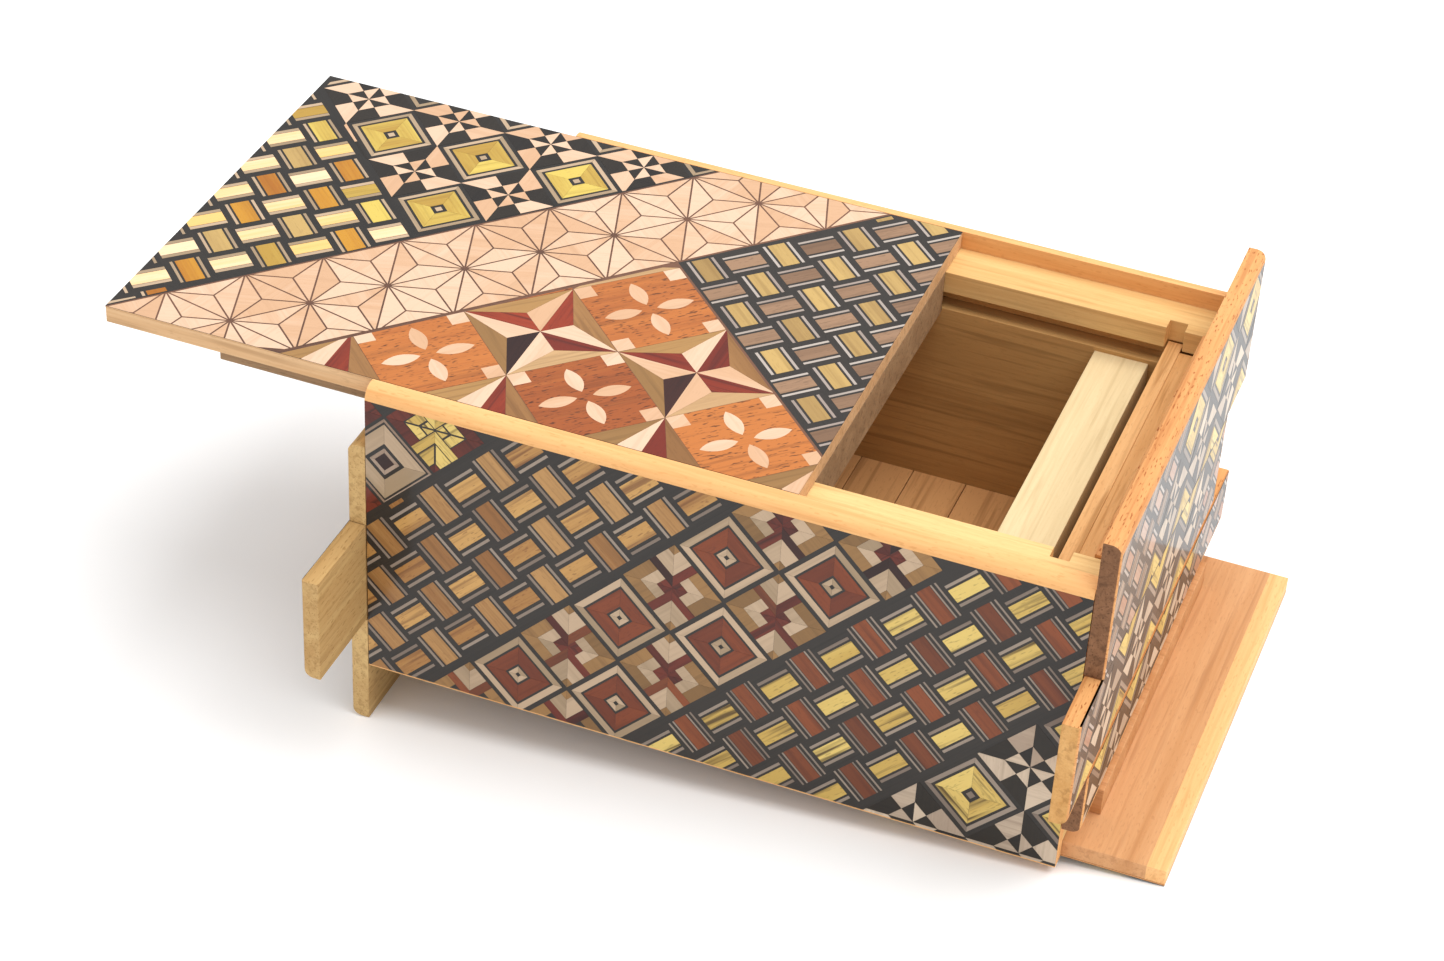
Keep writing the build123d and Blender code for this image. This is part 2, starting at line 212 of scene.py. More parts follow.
def wood(name):
    """Wood cut from a plank: the grain attribute is in millimetres, with X along the fibres."""
    if name in bpy.data.materials:
        return bpy.data.materials[name]
    light, dark, deep, pores, streaks, rough = {**VENEERS, **BOARDS}[name]
    box = bpy.context.scene.puzzle_box
    light, dark = getattr(box.light, name), getattr(box.dark, name)
    material = bpy.data.materials.new(name)
    material.use_nodes = True
    tree = material.node_tree
    tree.nodes.clear()
    grain = add(tree, "ShaderNodeAttribute", {"attribute_name": "grain"}).outputs["Vector"]
    tint = add(tree, "ShaderNodeAttribute", {"attribute_name": "tint"}).outputs["Fac"]
    # figure: bands about 6 mm wide that run on for 150 mm; fibre: lines 0.5 mm wide, 12 mm long
    long_run = add(tree, "ShaderNodeVectorMath", {"operation": "MULTIPLY", 1: (0.04, 1, 1)}, {0: grain})
    figure = add(tree, "ShaderNodeTexNoise", {"Scale": 0.16, "Detail": 3.0, "Distortion": 0.6},
                 {"Vector": long_run.outputs[0]}).outputs["Fac"]
    fibre = add(tree, "ShaderNodeTexNoise", {"Scale": 1.9, "Detail": 2.0},
                {"Vector": long_run.outputs[0]}).outputs["Fac"]
    # pores: vessels 0.3 mm wide and 1.5 mm long, drawn twice their real width so that they show
    short_run = add(tree, "ShaderNodeVectorMath", {"operation": "MULTIPLY", 1: (0.22, 1, 1)}, {0: grain})
    vessel = add(tree, "ShaderNodeTexNoise", {"Scale": 2.6, "Detail": 1.0},
                 {"Vector": short_run.outputs[0]}).outputs["Fac"]
    streak = add(tree, "ShaderNodeTexNoise", {"Scale": 0.75, "Detail": 3.0, "Distortion": 0.4},
                 {"Vector": long_run.outputs[0]}).outputs["Fac"]
    spread = add(tree, "ShaderNodeMath", {"operation": "MULTIPLY_ADD", 1: 0.9, 2: -0.45}, {0: tint})
    shade = add(tree, "ShaderNodeMath", {"operation": "MULTIPLY_ADD", 1: 0.45},
                {0: fibre, 2: spread.outputs[0]})
    shade = add(tree, "ShaderNodeMath", {"operation": "ADD"}, {0: shade.outputs[0], 1: figure})
    ramp = add(tree, "ShaderNodeMapRange", {"From Min": 0.42, "From Max": 1.02}, {"Value": shade.outputs[0]})
    body = add(tree, "ShaderNodeMix", {"data_type": "RGBA", 6: (*light, 1), 7: (*dark, 1)},
               {0: ramp.outputs[0]}).outputs[2]
    lines = add(tree, "ShaderNodeMapRange", {"From Min": 0.52, "From Max": 0.68, "To Max": streaks},
                {"Value": streak})
    holes = add(tree, "ShaderNodeMapRange", {"From Min": 0.60, "From Max": 0.70, "To Max": pores},
                {"Value": vessel})
    marks = add(tree, "ShaderNodeMath", {"operation": "MAXIMUM"}, {0: lines.outputs[0], 1: holes.outputs[0]})
    face = add(tree, "ShaderNodeMix", {"data_type": "RGBA", 7: (*linear(deep), 1)},
               {0: marks.outputs[0], 6: body}).outputs[2]
    gloss = add(tree, "ShaderNodeMapRange", {"To Min": rough - 0.05, "To Max": rough + 0.10},
                {"Value": fibre})
    relief = add(tree, "ShaderNodeMath", {"operation": "MULTIPLY_ADD", 1: -1.0},
                 {0: holes.outputs[0], 2: fibre})
    waxed = name in VENEERS
    bump = add(tree, "ShaderNodeBump", {"Strength": 0.15 if waxed else 0.3, "Distance": 0.08 * MM},
               {"Height": relief.outputs[0]})
    shader = add(tree, "ShaderNodeBsdfPrincipled",
                 {"IOR": 1.5, "Specular IOR Level": 0.2, "Coat Weight": 0.3 if waxed else 0.0,
                  "Coat Roughness": 0.12},
                 {"Base Color": face, "Roughness": gloss.outputs[0], "Normal": bump.outputs[0]})
    add(tree, "ShaderNodeOutputMaterial", None, {"Surface": shader.outputs[0]})
    return material


# ---- plain boards ------------------------------------------------------------------------------
def settle(thing, name):
    """A plain mesh object from one with modifiers, which is removed."""
    graph = bpy.context.evaluated_depsgraph_get()
    mesh = bpy.data.meshes.new_from_object(thing.evaluated_get(graph), depsgraph=graph)
    old = thing.data
    bpy.data.objects.remove(thing)
    bpy.data.meshes.remove(old)
    mesh.name = name
    piece = bpy.data.objects.new(name, mesh)
    bpy.context.scene.collection.objects.link(piece)
    return piece


def lay_grain(mesh, along, name):
    """Write the grain attribute: millimetres, X along the fibres, each board from its own plank."""
    pick = random.Random(name + str(bpy.context.scene.puzzle_box.seed))
    shift = Vector([pick.uniform(-400, 400) for _ in range(3)])
    order = {"x": (0, 1, 2), "y": (1, 0, 2), "z": (2, 0, 1)}[along]
    values = []
    for vertex in mesh.vertices:
        place = vertex.co / MM
        values += [place[order[0]] + shift[0], place[order[1]] + shift[1], place[order[2]] + shift[2]]
    mesh.attributes.new("grain", "FLOAT_VECTOR", "POINT").data.foreach_set("vector", values)
    tint = pick.uniform(0.35, 0.65)
    mesh.attributes.new("tint", "FLOAT", "POINT").data.foreach_set("value", [tint] * len(mesh.vertices))


def board(node, kind, along, cut=None, grown=(0, 0, 0)):
    """A finished board in the place of a CAD node, its edges eased and its grain laid. cut is the wood of its
    sawn ends, and grown moves its far sides outwards, in millimetres."""
    source = frame["nodes"][node]
    shape = bmesh.new()
    shape.from_mesh(source.data)
    bmesh.ops.remove_doubles(shape, verts=shape.verts, dist=2e-6)
    bmesh.ops.dissolve_limit(shape, angle_limit=math.radians(0.5), verts=shape.verts, edges=shape.edges)
    low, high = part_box(node)
    for vertex in shape.verts:
        for axis in range(3):
            if vertex.co[axis] > (low[axis] + high[axis]) / 2:
                vertex.co[axis] += grown[axis] * MM
    mesh = bpy.data.meshes.new(node + "_rough")
    shape.to_mesh(mesh)
    shape.free()
    for attribute in [a for a in mesh.attributes if a.name.startswith("custom_normal")]:
        mesh.attributes.remove(attribute)
    mesh.shade_smooth()
    rough = bpy.data.objects.new(node + "_rough", mesh)
    bpy.context.scene.collection.objects.link(rough)
    bevel = rough.modifiers.new("ease", "BEVEL")
    bevel.width = bpy.context.scene.puzzle_box.ease
    bevel.segments = 2
    bevel.limit_method = "ANGLE"
    bevel.angle_limit = math.radians(35)
    weighted = rough.modifiers.new("flats", "WEIGHTED_NORMAL")
    weighted.weight = 100
    piece = settle(rough, node + "_wood")
    piece.data.materials.clear()
    piece.data.materials.append(wood(kind))
    if cut:
        piece.data.materials.append(wood(cut))
    for polygon in piece.data.polygons:
        polygon.material_index = int(bool(cut) and abs(polygon.normal["xyz".index(along)]) > 0.9)
    lay_grain(piece.data, along, node)
    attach(piece, source["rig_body"])
    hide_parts(node)
    return piece


# ---- marquetry ---------------------------------------------------------------------------------
# A motif is a list of (outline, wood, grain angle, layer) on one square cell. Outlines are in
# millimetres on the cell's own axes: u runs up to the right at 45 degrees, v up to the left.
def clip(outline, nx, ny, least):
    """The part of a convex outline where nx * x + ny * y >= least."""
    kept = []
    for (ax, ay), (bx, by) in zip(outline, outline[1:] + outline[:1]):
        a, b = nx * ax + ny * ay - least, nx * bx + ny * by - least
        if a >= 0:
            kept.append((ax, ay))
        if (a >= 0) != (b >= 0):
            t = a / (a - b)
            kept.append((ax + (bx - ax) * t, ay + (by - ay) * t))
    return kept


def area(outline):
    """Signed area, positive when the outline runs anticlockwise."""
    return sum(ax * by - bx * ay for (ax, ay), (bx, by) in zip(outline, outline[1:] + outline[:1])) / 2


def shrunk(outline, gap):
    """A convex outline with every side moved inwards."""
    result = outline
    for (ax, ay), (bx, by) in zip(outline, outline[1:] + outline[:1]):
        length = math.hypot(bx - ax, by - ay)
        if length > 1e-6 and len(result) > 2:
            nx, ny = -(by - ay) / length, (bx - ax) / length
            result = clip(result, nx, ny, nx * ax + ny * ay + gap)
    return result


def oblong(u0, u1, v0, v1):
    return [(u0, v0), (u1, v0), (u1, v1), (u0, v1)]


def quarter_turn(outline, times):
    for _ in range(times % 4):
        outline = [(-v, u) for u, v in outline]
    return outline


def diagonal(outline):
    """From upright sheet axes to the cell's u and v."""
    return [((x + y) * D, (y - x) * D) for x, y in outline]


def woven(kind, line, turn, half, lines, reach=4.05):
    """One strand of basket weave: a bar of wood with white lines along each side."""
    rows = [(oblong(-half, half, -reach, reach), kind)]
    for near, far in lines:
        rows += [(oblong(near, far, -reach, reach), line), (oblong(-far, -near, -reach, reach), line)]
    return [(quarter_turn(o, turn), w, 90 + 90 * turn, 0) for o, w in rows]


def ringed(rings):
    """Square frames mitred at their corners, one inside the other."""
    tiles = []
    for inner, outer, kind in rings:
        if inner == 0:
            tiles.append((oblong(-outer, outer, -outer, outer), kind, 0, 0))
            continue
        side = [(-outer, -outer), (outer, -outer), (inner, -inner), (-inner, -inner)]
        tiles += [(quarter_turn(side, k), kind, 90 * k, 0) for k in range(4)]
    return tiles


def pinwheel(radius, first, second):
    """Eight wedges about the centre of a cell, dark and light in turn, with the colours swapped near it."""
    tiles = []
    inner = 0.47    # share of each wedge inside the swap
    for k in range(8):
        quarter, odd = divmod(k, 2)
        foot, mid = (radius, 0.0), (radius / 2, radius / 2)
        if odd:
            foot = (0.0, radius)
        near_foot = (foot[0] * inner, foot[1] * inner)
        near_mid = (mid[0] * inner, mid[1] * inner)
        small, large = [(0, 0), near_foot, near_mid], [near_foot, foot, mid, near_mid]
        if odd:
            small, large = small[::-1], large[::-1]
        kinds = (second, first) if odd else (first, second)
        for outline, kind in zip((large, small), kinds):
            spun = outline
            for _ in range(quarter):
                spun = [(-y, x) for x, y in spun]
            tiles.append((diagonal(spun), kind, 45 + 90 * quarter, 0))
    return tiles


def chevrons(scale, bands, white, outer, notch, gap=0.0):
    """A cross of nested arrowheads: each quarter is the upper-left one, turned over the cell's diagonals."""
    quarter = [
        ([(5.6, 5.6), (7.3, 7.3), (5.6, 7.3)], outer),
        ([(2.06, 2.06), (5.6, 5.6), (5.6, 7.3), (2.06, 7.3)], white),
        ([(0.2, 0.2), (2.06, 2.06), (2.06, 7.3), (0.2, 7.3)], "band"),
        ([(-4.7, 4.7), (0.2, 4.7), (0.2, 7.3), (-7.3, 7.3)], outer),
        ([(-2.3, 2.3), (0.2, 2.3), (0.2, 4.7), (-4.7, 4.7)], white),
        ([(0, 0), (0.2, 0.2), (0.2, 2.3), (-2.3, 2.3)], notch),
    ]
    turns = (lambda u, v: (u, v), lambda u, v: (v, u), lambda u, v: (-v, -u), lambda u, v: (-u, -v))
    tiles = []
    for number, turn in enumerate(turns):
        for outline, kind in quarter:
            if kind == white and gap:
                outline = shrunk(outline if area(outline) > 0 else outline[::-1], gap)
            spun = [turn(u * scale, v * scale) for u, v in outline]
            angle = 90 if number in (0, 3) else 0
            tiles.append((spun, bands[number] if kind == "band" else kind, angle, 0))
    return tiles


def petal_square(radius, flat, cream):
    """A square of one wood with a four-petalled flower and four small corner squares let into it."""
    side = radius * D
    tiles = [(oblong(-side, side, -side, side), flat, 0, 0)]
    corner = [(2.7, 0), (0, 2.7), (-2.7, 0), (0, -2.7)]
    for k in range(4):
        x, y = ((radius - 2.7, 0), (0, radius - 2.7), (2.7 - radius, 0), (0, 2.7 - radius))[k]
        tiles.append((diagonal([(px + x, py + y) for px, py in corner]), cream, 30, 1))
        tip = [(1.6 + 8.2 * t / 8, 1.7 * math.sin(math.pi * t / 8) ** 0.8) for t in range(9)]
        petal = tip + [(u, -v) for u, v in tip[-2:0:-1]]
        tiles.append((quarter_turn(petal, k), cream, 90 * k, 1))
    return tiles


def star_square(radius, cream, red, dark_red, olive, tan, pale):
    """A four-pointed star in light and dark halves, on four coloured corners."""
    a, b = 5.1, 4.9
    parts = [
        ([(0, 0), (0, radius), (-a, b)], cream, 90), ([(0, 0), (a, b), (0, radius)], red, 90),
        ([(0, 0), (-a, b), (-radius, 0)], red, 0), ([(0, 0), (-radius, 0), (-a, -b)], cream, 0),
        ([(0, 0), (radius, 0), (a, b)], cream, 0), ([(0, 0), (a, -b), (radius, 0)], red, 0),
        ([(0, 0), (-a, -b), (0, -radius)], dark_red, 90), ([(0, 0), (0, -radius), (a, -b)], cream, 90),
        ([(-a, b), (0, radius), (-radius, 0)], olive, 45), ([(a, b), (radius, 0), (0, radius)], tan, -45),
        ([(-a, -b), (-radius, 0), (0, -radius)], olive, -45),
        ([(a, -b), (0, -radius), (radius, 0)], pale, 45),
    ]
    return [(diagonal(outline), kind, angle - 45, 0) for outline, kind, angle in parts]


def hemp_leaf(anchor, side, heading, cream, window):
    """Hemp-leaf pattern: equilateral triangles, each parted in three from its middle. Sheet axes."""
    ux, uy = math.cos(math.radians(heading)), math.sin(math.radians(heading))
    wx, wy = math.cos(math.radians(heading + 60)), math.sin(math.radians(heading + 60))
    tiles = []
    for i in range(-14, 15):
        for j in range(-14, 15):
            def corner(p, q):
                return (anchor[0] + side * ((i + p) * ux + (j + q) * wx),
                        anchor[1] + side * ((i + p) * uy + (j + q) * wy))
            for points in ([corner(0, 0), corner(1, 0), corner(0, 1)],
                           [corner(1, 0), corner(1, 1), corner(0, 1)]):
                mx, my = sum(p[0] for p in points) / 3, sum(p[1] for p in points) / 3
                if abs(mx) > window[0] + side or abs(my) > window[1] + side:
                    continue
                for p, q in zip(points, points[1:] + points[:1]):
                    angle = math.degrees(math.atan2(q[1] - p[1], q[0] - p[0])) + 90
                    tiles.append((shrunk([p, q, (mx, my)], 0.17), cream, angle, 0))
    return tiles


def chequered(anchor, pitch, even, odd, window, pick):
    """Two motifs laid turn about on a lattice of diagonal cells. Sheet axes."""
    base = pitch[0]
    step = base * D
    sx, sy = 1.0, pitch[1] / base
    reach = int((window[0] + window[1]) * 1.5 / step) + 6
    tiles = []
    for i in range(-reach, reach + 1):
        for j in range(-reach, reach + 1):
            cx, cy = (i - j) * step * D * sx, (i + j) * step * D * sy
            if abs(anchor[0] + cx) > window[0] + base or abs(anchor[1] + cy) > window[1] + base:
                continue
            motif = even if (i + j) % 2 == 0 else odd
            for outline, kind, angle, layer in motif(pick):
                points = [(anchor[0] + cx + (u - v) * D * sx, anchor[1] + cy + (u + v) * D * sy)
                          for u, v in outline]
                tiles.append((points, kind, angle + 45, layer))
    return tiles


def basket(first, second, line, along, across, reach=4.05):
    """Two strands crossing: the woods of each, their line's wood, and each one's half width and lines."""
    return (lambda pick: woven(pick.choice(first), line, 0, *along, reach),
            lambda pick: woven(pick.choice(second), line, 1, *across, reach))


def pyramids(kind, frame_wood, *wheel):
    square = ringed([(0, 0.7, frame_wood), (1.4, 5.2, kind), (5.75, 6.7, frame_wood)])
    return (lambda pick: square, lambda pick: pinwheel(10.9, *wheel))


BAND_WOODS = ["purpleheart", "rosewood_dark", "rosewood_dark", "cherry_red"]
RED_SQUARE = ringed([(0, 0.42, "ground_black"), (0.42, 1.5, "aohada_warm"), (1.95, 5.0, "square_red"),
                     (5.45, 6.85, "aohada_warm")])
CREAM_SQUARE = ringed([(0, 1.5, "purpleheart"), (1.5, 2.3, "camphor_pink"), (3.05, 6.35, "aohada_warm"),
                       (6.75, 7.3, "camphor_pink")])
MOTIFS = {
    "weave_yellow": basket(["sumac_amber", "sumac_amber", "mulberry", "lacquer_tree_yellow"],
                           ["sumac_pale", "sumac_pale", "sumac_pale", "lacquer_tree_yellow"], "aohada_warm",
                           (2.05, [(2.5, 3.15)]), (1.75, [(1.85, 2.85)])),
    "weave_grey": basket(["mulberry"], ["walnut_grey"], "aohada_white",
                         (1.9, [(2.4, 3.05)]), (1.8, [(2.35, 3.0)])),
    "weave_tan": basket(["katsura_tan"], ["zelkova"], "aohada_grey",
                        (1.95, [(2.4, 3.05)]), (1.7, [(2.4, 3.05)])),
    "weave_red": basket(["cherry_red"], ["bark_yellow"], "aohada_grey", (1.65, [(1.75, 2.15), (2.8, 3.25)]),
                        (1.5, [(1.95, 2.6)])),
    "weave_salmon": basket(["salmon_cherry"], ["camphor_pink"], "aohada_white", (1.5, [(1.9, 2.5)]),
                           (1.5, [(1.9, 2.5)]), 3.35),
    "pyramids": pyramids("lacquer_tree_yellow", "aohada_warm", "bog_black", "spindle_cream"),
    "pyramids_pale": pyramids("bark_yellow", "aohada_grey", "hackberry_pale", "bog_black"),
    "flowers": (lambda pick: petal_square(16.7, "padauk", "spindle_cream"),
                lambda pick: star_square(16.7, "spindle_cream", "rosewood_red", "purpleheart",
                                         "magnolia_light", "camphor_tan", "magnolia_pale")),
    "red_squares": (lambda pick: RED_SQUARE,
                    lambda pick: chevrons(1.0, [pick.choice(BAND_WOODS) for _ in range(4)], "aohada_warm",
                                          "magnolia_olive", "rosewood_dark")),
    "cream_squares": (lambda pick: CREAM_SQUARE,
                      lambda pick: chevrons(1.02, ["bark_yellow"] * 4, "bark_yellow",
                                            "rosewood_dark", "bark_yellow", 0.2)),
}

# Lines across a sheet: point, angle, width of the dark strip along it. The back, left end and underside,
# and the far part of the right end, repeat the patterns of the faces that show.
# Bands: which side of which lines (1 is left of the line's heading), motif, anchor, pitch, ground.
LAYOUTS = {
    "lid": {
        "lines": [((-25.05, 2.75), 47.4, 0.9), ((15.8, 4.9), 46.95, 1.0), ((-54.9, 24.7), -45.0, 1.5),
                  ((24.4, 13.0), -45.2, 1.1)],
        "bands": [
            ({0: 1, 2: -1}, "weave_yellow", (-64.7, 16.4), (12.15, 11.97), "ground_black"),
            ({0: 1, 2: 1}, "pyramids", (-29.0, 33.4), (21.7, 22.55), "ground_black"),
            ({0: -1, 1: 1}, "hemp_leaf", (-3.3, 5.0), (16.78, 47.2), "ground_brown"),
            ({1: -1, 3: -1}, "flowers", (25.0, -38.1), (33.5, 33.3), "ground_brown"),
            ({1: -1, 3: 1}, "weave_grey", (54.7, 13.5), (12.15, 12.2), "ground_slate"),
        ],
    },
    "front": {
        "lines": [((-58.9, 18.7), 44.7, 1.0), ((-26.5, 0.9), 46.1, 1.2), ((18.4, 1.0), 46.3, 1.1),
                  ((52.9, -14.0), 46.5, 1.0)],
        "bands": [
            ({0: 1}, "cream_squares", (-69.67, 18.67), (21.8, 22.0), "ground_slate"),
            ({0: -1, 1: 1}, "weave_tan", (-57.8, 11.8), (11.92, 12.1), "ground_slate"),
            ({1: -1, 2: 1}, "red_squares", (2.4, -3.6), (21.4, 22.1), "ground_slate"),
            ({2: -1, 3: 1}, "weave_red", (44.3, -3.2), (11.75, 12.1), "ground_slate"),
            ({3: -1}, "pyramids_pale", (55.4, -22.6), (21.8, 22.4), "ground_slate"),
        ],
    },
    "back": {
        "lines": [((-48.0, 6.0), 46.0, 1.4), ((-6.0, 2.0), 46.0, 1.4), ((38.0, 0.0), 46.0, 1.4)],
        "bands": [
            ({0: 1}, "weave_red", (-60.0, 14.0), (11.9, 12.1), "ground_slate"),
            ({0: -1, 1: 1}, "pyramids_pale", (-26.0, 2.0), (21.8, 22.3), "ground_slate"),
            ({1: -1, 2: 1}, "weave_tan", (16.0, 1.0), (11.9, 12.1), "ground_slate"),
            ({2: -1}, "red_squares", (60.0, -8.0), (21.6, 22.1), "ground_slate"),
        ],
    },
    "right": {
        "lines": [((-17.0, 17.0), 45.0, 1.2), ((38.0, -12.0), 45.0, 1.2)],
        "bands": [
            ({0: 1}, "weave_salmon", (-25.5, 26.2), (10.2, 10.4), "ground_slate"),
            ({0: -1, 1: 1}, "pyramids_pale", (1.5, 26.0), (22.6, 22.8), "ground_slate"),
            ({1: -1}, "weave_salmon", (42.0, -20.0), (10.2, 10.4), "ground_slate"),
        ],
    },
    "left": {
        "lines": [((-22.0, 4.0), 45.0, 1.3), ((20.0, 0.0), 45.0, 1.3)],
        "bands": [
            ({0: 1}, "weave_tan", (-40.0, 10.0), (11.9, 12.0), "ground_slate"),
            ({0: -1, 1: 1}, "red_squares", (-1.0, 1.0), (21.6, 22.0), "ground_slate"),
            ({1: -1}, "weave_grey", (40.0, -8.0), (11.9, 12.0), "ground_slate"),
        ],
    },
    "bottom": {
        "lines": [((-30.0, 4.0), 46.0, 1.3), ((22.0, 0.0), 46.0, 1.3)],
        "bands": [
            ({0: 1}, "weave_tan", (-60.0, 10.0), (12.0, 12.0), "ground_slate"),
            ({0: -1, 1: 1}, "pyramids_pale", (-4.0, 2.0), (21.8, 22.2), "ground_slate"),
            ({1: -1}, "weave_red", (56.0, -6.0), (12.0, 12.0), "ground_slate"),
        ],
    },
}


def sheet_tiles(layout, rows, columns, window):
    """Every piece of veneer in one window of a face: outline, wood, grain angle, layer (-1 is the ground)."""
    plan = LAYOUTS[layout]
    pick = random.Random(layout + str(bpy.context.scene.puzzle_box.seed))
    seam = bpy.context.scene.puzzle_box.seam / MM
    (x0, x1), (y0, y1) = columns, rows
    tiles = []
    for sides, motif, anchor, pitch, ground in plan["bands"]:
        if motif == "hemp_leaf":
            pieces = hemp_leaf(anchor, pitch[0], pitch[1], "spindle_cream", window)
        else:
            even, odd = MOTIFS[motif]
            pieces = chequered(anchor, pitch, even, odd, window, pick)
        pieces = [(oblong(-window[0], window[0], -window[1], window[1]), ground, 45, -1)] + pieces
        for outline, kind, angle, layer in pieces:
            if area(outline) < 0:
                outline = outline[::-1]
            if layer >= 0:
                outline = shrunk(outline, seam)
            whole = area(outline) if len(outline) > 2 else 0
            for index, side in sides.items():
                (px, py), heading, strip = plan["lines"][index]
                nx, ny = -math.sin(math.radians(heading)) * side, math.cos(math.radians(heading)) * side
                margin = strip / 2 if layer >= 0 else 0
                if len(outline) > 2:
                    outline = clip(outline, nx, ny, nx * px + ny * py + margin)
            for nx, ny, least in ((1, 0, x0), (-1, 0, -x1), (0, 1, y0), (0, -1, -y1)):
                if len(outline) > 2:
                    outline = clip(outline, nx, ny, least)
            least_area = SLIVER_SHARE * min(whole, SLIVER_FROM) if layer >= 0 else LEAST_AREA
            if len(outline) > 2 and area(outline) > least_area:
                tiles.append((outline, kind, angle, layer))
    return tiles


# face: (its right, its up, half its length and height in mm, the wood under the sheet)
SHEETS = {
    "lid": ((1, 0, 0), (0, 1, 0), (73.7, 50.1), "lid_tan"),
    "front": ((1, 0, 0), (0, 0, 1), (73.85, 35.0), "hinoki_edge"),
    "back": ((-1, 0, 0), (0, 0, 1), (73.85, 35.0), "hinoki_edge"),
    "right": ((0, 1, 0), (0, 0, 1), (54.1, 35.1), "keyaki_end"),
    "left": ((0, -1, 0), (0, 0, 1), (54.1, 35.1), "keyaki_left"),
    "bottom": ((1, 0, 0), (0, -1, 0), (73.7, 50.1), "bottom_orange"),
}


def new_tree(name, inputs):
    """A Geometry Nodes tree with its named inputs, and its input node."""
    tree = bpy.data.node_groups.new(name, "GeometryNodeTree")
    for label, kind in {"Geometry": "Geometry", **inputs}.items():
        tree.interface.new_socket(label, in_out="INPUT", socket_type="NodeSocket" + kind)
    tree.interface.new_socket("Geometry", in_out="OUTPUT", socket_type="NodeSocketGeometry")
    return tree, add(tree, "NodeGroupInput")


def inlay_tree(kinds):
    """Thickens flat pieces of veneer into closed slips, each one shaded as its own cut of the plank."""
    tree, entry = new_tree("Marquetry sheet", {"Core thickness": "Float", "Ground thickness": "Float",
                                               "Slip thickness": "Float", "Wood seed": "Int"})
    layer = add(tree, "GeometryNodeInputNamedAttribute", {"data_type": "INT", "Name": "layer"})
    ground = add(tree, "FunctionNodeCompare", {"data_type": "INT", "operation": "LESS_THAN", 3: 0},
                 {2: layer.outputs[0]})
    depth = add(tree, "GeometryNodeSwitch", {"input_type": "FLOAT"},
                {0: ground.outputs[0], 1: entry.outputs["Slip thickness"],
                 2: entry.outputs["Ground thickness"]})
    core = add(tree, "FunctionNodeCompare", {"data_type": "INT", "operation": "LESS_THAN", 3: -1},
               {2: layer.outputs[0]})
    depth = add(tree, "GeometryNodeSwitch", {"input_type": "FLOAT"},
                {0: core.outputs[0], 1: depth.outputs[0], 2: entry.outputs["Core thickness"]})
    raised = add(tree, "GeometryNodeExtrudeMesh", {"mode": "FACES", "Individual": True},
                 {"Mesh": entry.outputs["Geometry"], "Offset Scale": depth.outputs[0]})
    under = add(tree, "GeometryNodeFlipFaces", None, {"Mesh": entry.outputs["Geometry"]})
    both = add(tree, "GeometryNodeJoinGeometry")
    tree.links.new(under.outputs[0], both.inputs[0])
    tree.links.new(raised.outputs["Mesh"], both.inputs[0])
    closed = add(tree, "GeometryNodeMergeByDistance", {"Distance": 1e-6}, {"Geometry": both.outputs[0]})
    slip = add(tree, "GeometryNodeInputNamedAttribute", {"data_type": "INT", "Name": "slip"})
    chance = add(tree, "FunctionNodeRandomValue", {"data_type": "FLOAT"},
                 {"ID": slip.outputs[0], "Seed": entry.outputs["Wood seed"]})
    tinted = add(tree, "GeometryNodeStoreNamedAttribute",
                 {"data_type": "FLOAT", "domain": "POINT", "Name": "tint"},
                 {"Geometry": closed.outputs[0], "Value": chance.outputs[1]})
    last = add(tree, "GeometryNodeRealizeInstances", None, {"Geometry": tinted.outputs[0]})
    number = add(tree, "GeometryNodeInputNamedAttribute", {"data_type": "INT", "Name": "kind"})
    for index, kind in enumerate(kinds):
        match = add(tree, "FunctionNodeCompare", {"data_type": "INT", "operation": "EQUAL", 3: index},
                    {2: number.outputs[0]})
        last = add(tree, "GeometryNodeSetMaterial", {"Material": wood(kind)},
                   {"Geometry": last.outputs[0], "Selection": match.outputs[0]})
    leave = add(tree, "NodeGroupOutput")
    tree.links.new(last.outputs[0], leave.inputs[0])
    return tree


def set_input(modifier, name, value):
    """Set a tree's named input on a modifier by its socket identifier."""
    sockets = [s for s in modifier.node_group.interface.items_tree
               if s.item_type == "SOCKET" and s.in_out == "INPUT" and s.name == name]
    if len(sockets) != 1:
        raise RuntimeError("the tree has no single input " + name)
    modifier[sockets[0].identifier] = value


